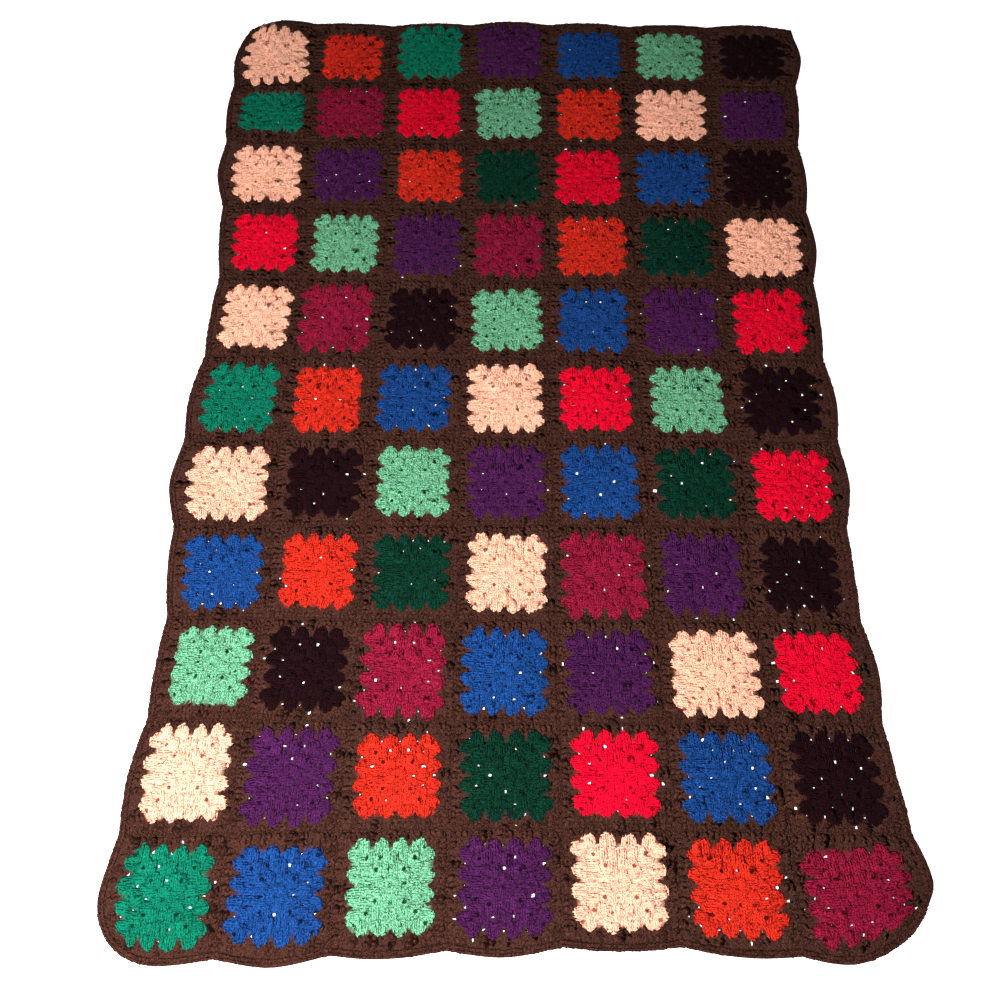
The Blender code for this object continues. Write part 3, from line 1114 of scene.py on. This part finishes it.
    def _work_square(self, square: Square, own: StitchRun, brown: StitchRun) -> None:
        """Works one square into its two runs.

        Args:
            square: The square.
            own: The run of its own colour.
            brown: The run of the brown yarn.
        """
        chance = chance_for(Draw.SQUARES, square.number)
        turn = chance.normal(0.0, self.turn_spread)
        tone = chance.normal(0.0, self.tone_spread)
        heights = np.array(self.colour_heights)
        for worked in COLOUR_ROUNDS:
            feet, heads, widths, bows = self.work_round(worked, chance)
            ends = square.eased(feet, turn), square.eased(heads, turn)
            own.add(chance, *ends, widths, heights, self.height_spread, tone, bows, square.number)
        feet, heads, widths, bows = self.work_round(BORDER_ROUND, chance)
        corners = self.corner_foot * np.array([(x, y) for x in (-1, 1) for y in (-1, 1)])
        feet = square.eased(np.concatenate([feet, corners]), turn)
        heads = np.concatenate([heads, corners * self.corner_reach]) + square.middle
        widths = np.append(widths, np.full(len(corners), BORDER_ROUND.width))
        bows = np.append(bows, np.zeros(len(corners)))
        heights = np.array(self.border_heights)
        brown.add(chance, feet, heads, widths, heights, self.height_spread, 0.0, bows, square.number)


@dataclass
class JoiningSeams:
    """The brown stitches along every seam between squares."""

    forms: StitchForms
    maker: StitchMaker
    pitch: float = 0.0056
    width: float = 0.0056
    width_spread: float = 0.08      # as a share of the width
    wander: float = 0.0006          # how far a seam swings to either side of its line
    phase: float = 6.0              # the most by which its swing may start late, in radians
    stray: float = 0.0003
    height: float = 0.0007
    height_spread: float = 0.0002
    tone: float = -0.1

    def make(self) -> None:
        """Works all the seams as one piece."""
        chance = chance_for(Draw.SEAMS)
        run = StitchRun()
        wide, long = COLUMNS * SQUARE, ROWS * SQUARE
        for column in range(1, COLUMNS):
            self._seam(run, np.array([column * SQUARE, 0.0]), np.array([column * SQUARE, -long]), chance)
        for row in range(1, ROWS):
            self._seam(run, np.array([0.0, -row * SQUARE]), np.array([wide, -row * SQUARE]), chance)
        self.maker.work("joining_stitches", self.forms.joining, run, YarnColour.BROWN)

    def _seam(
        self, run: StitchRun, start: np.ndarray, end: np.ndarray, chance: np.random.Generator
    ) -> None:
        """Adds one straight seam on the plan, wandering a little as a hand-worked one does.

        Args:
            run: The run that its stitches join.
            start: Where it starts on the plan.
            end: Where it ends.
            chance: The source of small unevenness.
        """
        length = math.dist(start, end)
        count = round(length / self.pitch)
        share = np.linspace(0.0, 1.0, count + 1)
        way = (end - start) / length
        swing = share * length / SQUARE * 2.0 * np.pi + chance.uniform(0.0, self.phase)
        aside = self.wander * np.sin(swing) + chance.normal(0.0, self.stray, count + 1)
        line = start * (1.0 - share)[:, None] + end * share[:, None]
        line = line + aside[:, None] * np.array([way[1], -way[0]])
        widths = self.width * (1.0 + chance.normal(0.0, self.width_spread, count))
        heights = np.full(2, self.height)
        run.add(chance, line[:-1], line[1:], widths, heights, self.height_spread, self.tone)


@dataclass
class EdgingRounds:
    """Two rounds of short brown stitches round the whole blanket."""

    plan: Plan
    forms: StitchForms
    maker: StitchMaker
    count: int = 1070
    starts: tuple[float, float] = (-0.0008, 0.0038)     # how far out from the squares each round starts
    reach: float = 0.0048
    width: float = 0.0056
    width_spread: float = 0.08      # as a share of the width
    slant: float = 0.0012           # how far a stitch's head leans on along the edge
    end_spread: float = 0.0003
    heights: tuple[float, float] = (0.0009, 0.0011)
    height_spread: float = 0.0002
    softening: float = 0.018        # over what length the outline's corners are rounded
    fine_steps: int = 40            # in how many steps each square's side is followed
    fine: int = 4                   # how many places there are to a stitch while the outline is rounded
    curl: float = 0.0011            # how far the right side curls up, where it does most
    curl_middle: float = 6.5        # where that is, in squares from the far end
    curl_reach: float = 4.0

    def outline(self) -> tuple[np.ndarray, np.ndarray, np.ndarray]:
        """The joined squares' outer side, evenly divided.

        Returns:
            The places, as (places, 2), the way out at each, and how far it lifts, with the curl.
        """
        u, v = self.plan.perimeter(tuple(step / self.fine_steps for step in range(self.fine_steps)))
        x, y = self.plan.lie(u * SQUARE, -v * SQUARE)
        rise = self.plan.lift(u * SQUARE, -v * SQUARE)
        curl = np.maximum(0.0, 1.0 - ((v - self.curl_middle) / self.curl_reach) ** 2)
        rise = rise + np.where(u > COLUMNS - TINY, curl, 0.0) * self.curl
        gone = np.concatenate([[0.0], np.cumsum(np.hypot(np.roll(x, -1) - x, np.roll(y, -1) - y))])
        even = np.linspace(0.0, gone[-1], self.fine * self.count, endpoint=False)
        reach = round(self.softening / (gone[-1] / even.size) / 2.0)
        weights = np.hanning(2 * reach + 3)[1:-1]       # without the noughts at its ends
        weights = weights / weights.sum()
        soft = []
        for values in (x, y, rise):
            spread = np.interp(even, gone, np.append(values, values[0]))
            ring = np.concatenate([spread[-reach:], spread, spread[:reach]])
            soft.append(np.convolve(ring, weights, mode="valid"))
        x, y, rise = soft
        places, ways = np.stack([x, y], axis=1), np.stack(self.plan.outward(x, y), axis=1)
        return places[::self.fine], ways[::self.fine], rise[::self.fine]

    def make(self) -> None:
        """Works both rounds as one piece."""
        chance = chance_for(Draw.EDGING)
        run = StitchRun()
        spots, way, rise = self.outline()
        forward = np.stack([way[:, 1], -way[:, 0]], axis=1)
        heights = rise[:, None] + np.array(self.heights)
        for start in self.starts:
            uneven = chance.normal(0.0, self.end_spread, (self.count, 2))
            feet = spots + way * (start + uneven[:, 0:1])
            heads = spots + way * (start + self.reach + uneven[:, 1:2]) + forward * self.slant
            widths = self.width * (1.0 + chance.normal(0.0, self.width_spread, self.count))
            run.add(chance, feet, heads, widths, heights, self.height_spread)
        self.maker.work("edging_stitches", self.forms.edging, run, YarnColour.BROWN, charted=False)


@dataclass
class GroundCloth:
    """The thin sheet of crossed strands under the stitches, open at the spaces between clusters, with
    painted shade where a space stays closed.
    """

    plan: Plan
    maker: StitchMaker
    cell_edges: tuple[float, ...] = (0.0065, 0.017, 0.0245, 0.031, 0.039, 0.046, 0.057, 0.075)
    opening: float = 0.0036         # the usual side of an open space
    opening_spread: tuple[float, float] = (0.5, 1.3)    # the least and most of that, as shares
    unevenness: float = 0.55        # how far its corners stray, as a share
    rim: float = 0.0005             # the strip inside a cell round its opening
    top: float = 0.0019             # how far the upper face stands off the floor
    under: float = 0.0003           # the same for the lower face
    tuck: float = 0.0100            # how far it runs under the edging
    lit: float = 0.75               # how near its colour is to the lit side of the yarn over it
    shaded: float = -0.3            # the same where a gap stays closed, as painted shade
    darkest: float = 0.1            # the least of the yarn's painted crevice shade that is left there
    coloured: float = 0.40          # how far out the square's own colour reaches, as a share of its side

    def make(self) -> bpy.types.Object:
        """Makes the sheet, cut open at its spaces and closed round their edges.

        Returns:
            The sheet.
        """
        stops = [-edge for edge in reversed(self.cell_edges)] + list(self.cell_edges)
        cells = len(stops) - 1
        shape = bmesh.new()
        bmesh.ops.create_grid(shape, x_segments=COLUMNS * cells, y_segments=ROWS * cells, size=0.5)
        for vert in shape.verts:
            vert.co.x = self._stop(round((vert.co.x + 0.5) * COLUMNS * cells), stops, COLUMNS)
            vert.co.y = -self._stop(round((vert.co.y + 0.5) * ROWS * cells), stops, ROWS)
        bmesh.ops.recalc_face_normals(shape, faces=list(shape.faces))
        opened, dark = self._open_spaces(shape)
        colour = shape.verts.layers.float_color.new("ground")
        for vert in shape.verts:
            # Painted shade at the closed gaps; elsewhere a colour near the yarn's lit side over it
            vert[colour] = self._yarn_at(vert.co.x, vert.co.y, self.shaded if vert in dark else self.lit)
        raised = bmesh.ops.extrude_face_region(shape, geom=list(shape.faces), use_keep_orig=True)
        tops = {item for item in raised["geom"] if isinstance(item, bmesh.types.BMVert)}
        self._lay(shape, tops)
        bmesh.ops.recalc_face_normals(shape, faces=list(shape.faces))
        piece = finished("ground_cloth", shape)
        piece.data.shade_smooth()
        LOG.info("ground_cloth: %d open spaces", opened)
        return piece

    def _stop(self, step: int, stops: list[float], squares: int) -> float:
        """Where one grid line of the sheet goes, run out under the edging at either end.

        Args:
            step: The number of the line.
            stops: Where a square's lines are, from its middle.
            squares: How many squares there are that way.

        Returns:
            Its place in charted metres.
        """
        cells = len(stops) - 1
        square = min(step // cells, squares - 1)
        place = (square + 0.5) * SQUARE + stops[step - square * cells]
        if step == 0:
            return place - self.tuck
        return place + self.tuck if step == squares * cells else place

    def _open_spaces(self, shape: bmesh.types.BMesh) -> tuple[int, set[bmesh.types.BMVert]]:
        """Cuts the gaps that go right through, and marks out the others for painted shade.

        Args:
            shape: The flat charted sheet.

        Returns:
            How many were cut, and the corners of those that were not, which get painted shade.
        """
        faces = list(shape.faces)
        centres = np.array([face.calc_center_median().xy for face in faces])
        places = {}
        for square, gaps in self.maker.gaps.items():
            for spot, holed in zip(gaps, self.maker.holed[square]):
                nearest = int(np.argmin(np.abs(centres - spot).max(axis=1)))
                places[faces[nearest]] = (spot, holed)
        bmesh.ops.inset_individual(shape, faces=list(places), thickness=self.rim, use_even_offset=True)
        chance = chance_for(Draw.GROUND)
        for face, (spot, _) in places.items():
            about = face.calc_center_median()
            half = self.opening / 2.0 * chance.uniform(*self.opening_spread, 2)
            for vert in face.verts:
                stray = half * (1.0 + self.unevenness * chance.uniform(-1.0, 1.0, 2))
                vert.co.x = spot[0] + math.copysign(stray[0], vert.co.x - about.x)
                vert.co.y = spot[1] + math.copysign(stray[1], vert.co.y - about.y)
        dark = {vert for face, (_, holed) in places.items() if not holed for vert in face.verts}
        cut = [face for face, (_, holed) in places.items() if holed]
        bmesh.ops.delete(shape, geom=cut, context="FACES_ONLY")
        return len(cut), dark

    def _yarn_at(self, p: float, q: float, lit: float) -> tuple[float, float, float, float]:
        """The colour of the ground at a charted place: the square's own yarn, or brown round it.

        Args:
            p: Charted metres to the right.
            q: Charted metres towards the far end.
            lit: How near the colour is to the yarn's lit side from its painted crevice shade, or below 0
                for deeper painted shade.

        Returns:
            The colour, with its alpha.
        """
        column = min(max(int(p / SQUARE), 0), COLUMNS - 1)
        row = min(max(int(-q / SQUARE), 0), ROWS - 1)
        square = Square(row, column)
        out = np.abs(np.array([p, q]) - square.middle) / square.sides
        finish = FINISHES[square.colour if out.max() < self.coloured else YarnColour.BROWN]
        deep, light = np.array(finish.deep), np.array(finish.colour)
        return (*np.maximum(deep + lit * (light - deep), self.darkest * deep), 1.0)

    def _lay(self, shape: bmesh.types.BMesh, tops: set[bmesh.types.BMVert]) -> None:
        """Moves the charted sheet to where it lies, with its thickness.

        Args:
            shape: The sheet, with both its faces still at one height.
            tops: The points of its upper face.
        """
        verts = list(shape.verts)
        p, q = np.array([vert.co.xy for vert in verts]).T
        x, y = self.plan.lie(p, q)
        above = np.array([vert in tops for vert in verts])
        height = self.plan.lift(p, q) + np.where(above, self.top + self.plan.puff(p, q), self.under)
        for vert, place in zip(verts, np.stack([x, y, height], axis=1)):
            vert.co = place


class Value:
    """A number at each point of a surface, which takes part in ordinary sums."""

    def __init__(self, maker: "NodeMaker", socket: bpy.types.NodeSocket) -> None:
        """Wraps a socket."""
        self.maker = maker
        self.socket = socket

    def _sum(self, operation: str, first: Any, second: Any) -> "Value":
        """Adds one Math node."""
        node = self.maker.node("ShaderNodeMath", {"operation": operation}, {0: first, 1: second})
        return Value(self.maker, node.outputs[0])

    def __add__(self, other: Any) -> "Value":
        """self + other"""
        return self._sum("ADD", self, other)

    def __radd__(self, other: Any) -> "Value":
        """other + self"""
        return self._sum("ADD", other, self)

    def __sub__(self, other: Any) -> "Value":
        """self - other"""
        return self._sum("SUBTRACT", self, other)

    def __rsub__(self, other: Any) -> "Value":
        """other - self"""
        return self._sum("SUBTRACT", other, self)

    def __mul__(self, other: Any) -> "Value":
        """self * other"""
        return self._sum("MULTIPLY", self, other)

    def __rmul__(self, other: Any) -> "Value":
        """other * self"""
        return self._sum("MULTIPLY", other, self)

    def between(self, low: float, high: float, to_low: float = 0.0, to_high: float = 1.0) -> "Value":
        """The value run from one range to another, held at its ends.

        Args:
            low: The value that becomes to_low.
            high: The value that becomes to_high.
            to_low: What low becomes.
            to_high: What high becomes.

        Returns:
            The new value.
        """
        ends = {"From Min": low, "From Max": high, "To Min": to_low, "To Max": to_high}
        node = self.maker.node("ShaderNodeMapRange", {"clamp": True}, {"Value": self, **ends})
        return Value(self.maker, node.outputs["Result"])

    def wave(self) -> "Value":
        """The sine of the value."""
        return self._sum("SINE", self, 0.0)


class NodeMaker:
    """Builds one material's nodes."""

    def __init__(self, name: str) -> None:
        """Starts a material that holds only its shader and its output.

        Args:
            name: The material's name.
        """
        self.material = bpy.data.materials.new(name)
        self.material.use_nodes = True
        self.tree = self.material.node_tree
        self.shader = self.tree.nodes["Principled BSDF"]

    def node(self, kind: str, settings: dict[str, Any], sockets: dict[Any, Any]) -> bpy.types.Node:
        """Adds one node.

        Args:
            kind: The node's type.
            settings: Its own settings, which are made first.
            sockets: The value or link of each input, by name or number.

        Returns:
            The node.
        """
        made = self.tree.nodes.new(kind)
        for key, value in settings.items():
            setattr(made, key, value)
        for key, value in sockets.items():
            self.feed(made.inputs[key], value)
        return made

    def feed(self, socket: bpy.types.NodeSocket, value: Any) -> None:
        """Sets an input to a number or colour, or links it.

        Args:
            socket: The input.
            value: What it is to have.
        """
        if isinstance(value, Value):
            self.tree.links.new(value.socket, socket)
        elif isinstance(value, bpy.types.NodeSocket):
            self.tree.links.new(value, socket)
        else:
            socket.default_value = value

    def attribute(self, name: str) -> bpy.types.Node:
        """The node that reads one of the mesh's own attributes."""
        return self.node("ShaderNodeAttribute", {"attribute_name": name}, {})

    def shaded(self, colour: Any, grey: Value) -> bpy.types.NodeSocket:
        """A colour made lighter or darker, by how far a value is from one."""
        shade = self.node("ShaderNodeCombineColor", {}, {0: grey, 1: grey, 2: grey})
        return self.blend(1.0, colour, shade.outputs[0], "MULTIPLY")

    def parts(self, vector: bpy.types.NodeSocket) -> tuple[Value, Value, Value]:
        """The three numbers of a vector."""
        split = self.node("ShaderNodeSeparateXYZ", {}, {0: vector})
        return tuple(Value(self, output) for output in split.outputs)

    def place(self) -> bpy.types.NodeSocket:
        """Where a point lies, in the blanket's own frame."""
        return self.node("ShaderNodeTexCoord", {}, {}).outputs["Object"]

    def noise(self, scale: float, detail: float = 2.0, roughness: float = 0.5) -> Value:
        """Soft random variation over the blanket.

        Args:
            scale: How many lumps there are to a metre.
            detail: How many finer layers it has.
            roughness: How strong they are.

        Returns:
            The value, about a half.
        """
        sockets = {"Vector": self.place(), "Scale": scale, "Detail": detail, "Roughness": roughness}
        return Value(self, self.node("ShaderNodeTexNoise", {}, sockets).outputs["Fac"])

    def blend(self, share: Any, first: Any, second: Any, way: str = "MIX") -> bpy.types.NodeSocket:
        """Two colours mixed.

        Args:
            share: How much of the second there is.
            first: The first colour.
            second: The second colour.
            way: How they are mixed.

        Returns:
            The mixed colour.
        """
        settings = {"data_type": "RGBA", "blend_type": way, "clamp_factor": True}
        made = self.node("ShaderNodeMix", settings, {0: share, 6: first, 7: second})
        return made.outputs[2]

    def bump(self, height: Value, distance: float, strength: float, fuzziness: float) -> None:
        """Feeds a height to the shader as bump.

        Args:
            height: The height.
            distance: How deep it is where the height is one, in metres.
            strength: How much of it shows.
            fuzziness: How far loose fibres soften the shading of the strands, turning it upwards.
        """
        facing = self.node("ShaderNodeNewGeometry", {}, {}).outputs["Normal"]
        upwards = (0.0, 0.0, fuzziness)
        lifted = self.node("ShaderNodeVectorMath", {"operation": "ADD"}, {0: facing, 1: upwards})
        soft = self.node("ShaderNodeVectorMath", {"operation": "NORMALIZE"}, {0: lifted.outputs[0]})
        depth = {"Strength": strength, "Distance": distance}
        made = self.node("ShaderNodeBump", {}, {**depth, "Height": height, "Normal": soft.outputs[0]})
        self.feed(self.shader.inputs["Normal"], made.outputs["Normal"])

    def finish(self, colour: Any, roughness: Any, fixed: dict[str, Any]) -> bpy.types.Material:
        """Feeds the shader.

        Args:
            colour: The base colour.
            roughness: The roughness.
            fixed: Whatever is the same all over, by socket name.

        Returns:
            The material.
        """
        self.feed(self.shader.inputs["Base Color"], colour)
        self.feed(self.shader.inputs["Roughness"], roughness)
        for name, value in fixed.items():
            self.shader.inputs[name].default_value = value
        return self.material


def tinted(colour: tuple[float, float, float], share: float) -> tuple[float, float, float, float]:
    """A colour made lighter, or darker where the share is below one, with its alpha."""
    return (*(min(1.0, part * share) for part in colour), 1.0)


@dataclass(frozen=True)
class YarnDresser:
    """Worsted yarn: plied strands with a soft fuzz, with painted shade in the crevices and painted light
    at the crests.

    A scale is how many lumps of a kind of unevenness there are to a metre. A relief is how far something
    moves the colour from the painted crevice shade towards the yarn's lit colour, and a shade how far it
    brightens that colour.
    """

    ply_turn: float = 0.0042        # the length of one ply's turn along a strand
    ply_slant: float = 1.6          # how far a ply slants across the strand for each metre along it
    ply_depth: float = 0.0006
    fuzz_scale: float = 1400.0
    stray_scale: float = 2600.0
    mottle_scale: float = 420.0
    drift_scale: float = 14.0
    # The strand and ply reliefs paint shade into the crevices and light onto the crests; mottle and fuzz
    # vary it at random
    strand_relief: float = 0.5
    ply_relief: float = 0.16
    mottle_relief: float = 1.8
    fuzz_relief: float = 0.9
    # The dimple relief and dimple shade paint shade into the closed spaces between clusters
    dimple_relief: float = 2.0
    dimple_shade: float = 0.5
    drift_shade: float = 0.3
    fuzz_shade: float = 0.6
    ragged: float = 1.2             # how uneven the edge of a dimple's painted shade is
    dimple_edge: tuple[float, float] = (0.25, 0.80)     # where a dimple's painted shade fades, by its squared reach
    crest_range: tuple[float, float] = (-1.1, 0.6)      # the relief at a crevice's painted shade and at a crest's painted light
    shade_range: tuple[float, float] = (0.3, 1.9)       # the least and most that a shade may be
    stray_range: tuple[float, float] = (0.60, 0.80)     # how rare stray pale fibres and their painted sheen are
    ground_range: tuple[float, float] = (0.2, 1.8)      # the shade range of the ground cloth
    ground_level: float = 0.88      # the ground cloth's usual shade
    ground_contrast: tuple[float, float] = (3.2, 2.2)   # how far its strands and its fuzz vary that
    ground_depth: float = 0.0008    # the depth of its strands
    fuzziness: float = 1.3          # how far the fuzz softens the shading of the strands
    roughness: float = 0.88
    specular: float = 0.05
    bump_strength: float = 0.8

    def dress(self, finish: YarnFinish) -> bpy.types.Material:
        """Makes the material of one yarn.

        Args:
            finish: The yarn.

        Returns:
            Its material.
        """
        maker = NodeMaker(f"{finish.name}_yarn")
        tone = Value(maker, maker.attribute("tone").outputs["Fac"])
        along, across, up = maker.parts(maker.attribute("grain").outputs["Vector"])
        right, on, force = maker.parts(maker.attribute("dimple").outputs["Vector"])
        ply = ((along + across * self.ply_slant) * (2.0 * math.pi / self.ply_turn)).wave()
        fuzz = maker.noise(self.fuzz_scale, 3.0, 0.65)
        drift = maker.noise(self.drift_scale, 2.0, 0.5)
        mottle = maker.noise(self.mottle_scale, 2.0, 0.6)
        # The dimple mask: painted shade in the spaces between clusters, where the strands dip
        away = right * right + on * on + (mottle - 0.5) * self.ragged
        dimple = away.between(*self.dimple_edge, finish.dimple_painted_shade, 0.0) * force
        # Painted shade: strands and plies lighter at their tops, darker in the crevices between them
        rib_shade = up * (self.strand_relief * finish.rib_shade) + ply * (self.ply_relief * finish.rib_shade)
        relief = rib_shade + (mottle - 0.5) * self.mottle_relief - dimple * self.dimple_relief
        crest = (relief + (fuzz - 0.5) * self.fuzz_relief).between(*self.crest_range)
        # Mixes from the painted crevice shade to the yarn's lit colour
        lit = maker.blend(crest, (*finish.deep, 1.0), (*finish.colour, 1.0))
        speckle = (mottle - 0.5) * finish.grit + (fuzz - 0.5) * (self.fuzz_shade * finish.grit)
        bright = tone * finish.spread + speckle + (drift - 0.5) * self.drift_shade
        # Painted shade darkens the dimples further
        bright = bright - dimple * self.dimple_shade
        varied = maker.shaded(lit, (bright + 1.0).between(*self.shade_range, *self.shade_range))
        # Pale stray fibres, partly a painted sheen of light catching the fibres
        fibres = maker.noise(self.stray_scale, 2.0, 0.7)
        stray = fibres.between(*self.stray_range, 0.0, finish.pale_fibres_and_sheen)
        pale = (*(0.5 * part + 0.45 for part in tinted(finish.colour, 1.5)[:3]), 1.0)
        softness = self.fuzziness + 1.5 * max(0.0, 1.0 - finish.rib_shade)
        maker.bump(ply * 0.8 + mottle * 2.0 + fuzz, self.ply_depth, self.bump_strength, softness)
        rough = (self.roughness + (fuzz - 0.5) * 0.2).between(0.0, 1.0)
        fixed = {
            "Sheen Weight": finish.sheen,
            "Sheen Roughness": 0.5,
            "Sheen Tint": tinted(finish.colour, 1.6),
            # Painted glow: the yarn gives off its own colour as light, for the light scattered inside a
            # pale yarn
            "Emission Color": tinted(finish.colour, 1.0),
            "Emission Strength": finish.glow,
            "Specular IOR Level": self.specular,
        }
        return maker.finish(maker.blend(stray, varied, pale), rough, fixed)

    def dress_ground(self) -> bpy.types.Material:
        """Makes the material of the ground cloth, whose colour follows the yarns over it.

        Returns:
            Its material.
        """
        maker = NodeMaker("ground_yarns")
        strands = maker.noise(self.mottle_scale, 3.0, 0.6)
        fuzz = maker.noise(self.fuzz_scale, 2.0, 0.6)
        strong, weak = self.ground_contrast
        grey = (strands - 0.5) * strong + (fuzz - 0.5) * weak + self.ground_level
        grey = grey.between(*self.ground_range, *self.ground_range)
        varied = maker.shaded(maker.attribute("ground").outputs["Color"], grey)
        maker.bump(strands * 2.0 + fuzz, self.ground_depth, self.bump_strength, self.fuzziness)
        fixed = {"Sheen Weight": 0.04, "Specular IOR Level": self.specular}
        return maker.finish(varied, self.roughness, fixed)


@dataclass
class Studio:
    """The floor, the lights and the camera."""

    floor_half: float = 6.0
    floor_colour: tuple[float, float, float] = (0.86, 0.86, 0.86)
    camera_at: tuple[float, float, float] = (-0.0199, -0.6825, 1.3125)
    camera_turns: tuple[float, float, float] = (0.647, 20.996, -0.239)
    lens: float = 32.02
    sensor: float = 36.0
    light_at: tuple[float, float, float] = (-0.55, -0.96, 1.24)
    light_aim: tuple[float, float, float] = (-0.15, -0.25, 0.0)
    light_size: float = 1.7
    light_power: float = 88.0
    ambient: float = 0.12
    floor_glow: float = 0.8

    def make_floor(self) -> None:
        """Makes the plain pale floor."""
        shape = bmesh.new()
        bmesh.ops.create_grid(shape, x_segments=4, y_segments=4, size=self.floor_half)
        floor = finished("studio_floor", shape)
        nodes = NodeMaker("floor_paper")
        grain = nodes.noise(3.0, 2.0, 0.5).between(0.3, 0.7, 0.0, 1.0)
        colour = nodes.blend(grain, tinted(self.floor_colour, 0.99), tinted(self.floor_colour, 1.01))
        glow = {"Emission Color": WHITE, "Emission Strength": self.floor_glow}
        floor.data.materials.append(nodes.finish(colour, 0.9, {"Specular IOR Level": 0.1, **glow}))

    def make_lights(self) -> None:
        """Makes one wide soft light over the foot end and a pale surround."""
        lamp = bpy.data.lights.new("soft_light", "AREA")
        lamp.shape = "DISK"
        lamp.size = self.light_size
        lamp.energy = self.light_power
        holder = linked("soft_light", lamp)
        holder.visible_camera = False
        aim = (Vector(self.light_aim) - Vector(self.light_at)).to_track_quat("-Z", "Y")
        holder.matrix_world = Matrix.Translation(self.light_at) @ aim.to_matrix().to_4x4()
        world = bpy.data.worlds.new("surround")
        world.use_nodes = True
        sky = world.node_tree.nodes["Background"].inputs
        sky["Color"].default_value = WHITE
        sky["Strength"].default_value = self.ambient
        bpy.context.scene.world = world
        bpy.context.scene.view_settings.view_transform = "Standard"

    def make_camera(self) -> None:
        """Sets up the camera, which looks down from over the foot end."""
        lens = bpy.data.cameras.new("camera")
        lens.lens = self.lens
        lens.sensor_width = self.sensor
        holder = linked("camera", lens)
        turn_z, turn_x, roll = (math.radians(angle) for angle in self.camera_turns)
        turned = Matrix.Rotation(turn_z, 4, "Z") @ Matrix.Rotation(turn_x, 4, "X")
        holder.matrix_world = Matrix.Translation(self.camera_at) @ turned @ Matrix.Rotation(roll, 4, "Z")
        bpy.context.scene.camera = holder


def join_up(pieces: list[bpy.types.Object], ground: bpy.types.Object) -> None:
    """Puts every piece on the body that it rides on, and hides the imported solids.

    Args:
        pieces: Every piece made of stitches.
        ground: The ground cloth.
    """
    for piece in (*pieces, ground):
        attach(piece, BODY)
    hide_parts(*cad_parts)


def main() -> None:
    """Makes the blanket and its surroundings."""
    logging.basicConfig(level=logging.INFO, format="%(message)s", stream=sys.stdout)
    studio = Studio()
    studio.make_floor()
    studio.make_lights()
    studio.make_camera()
    plan, forms = Plan(), StitchForms()
    maker = StitchMaker(plan)
    GrannySquares(forms, maker).make()
    JoiningSeams(forms, maker).make()
    EdgingRounds(plan, forms, maker).make()
    ground = GroundCloth(plan, maker).make()
    dresser = YarnDresser()
    materials = {colour: dresser.dress(FINISHES[colour]) for colour in YarnColour}
    for piece, colour in maker.pieces:
        piece.data.materials.append(materials[colour])
    ground.data.materials.append(dresser.dress_ground())
    join_up([piece for piece, _ in maker.pieces], ground)


if __name__ == "__main__":
    main()
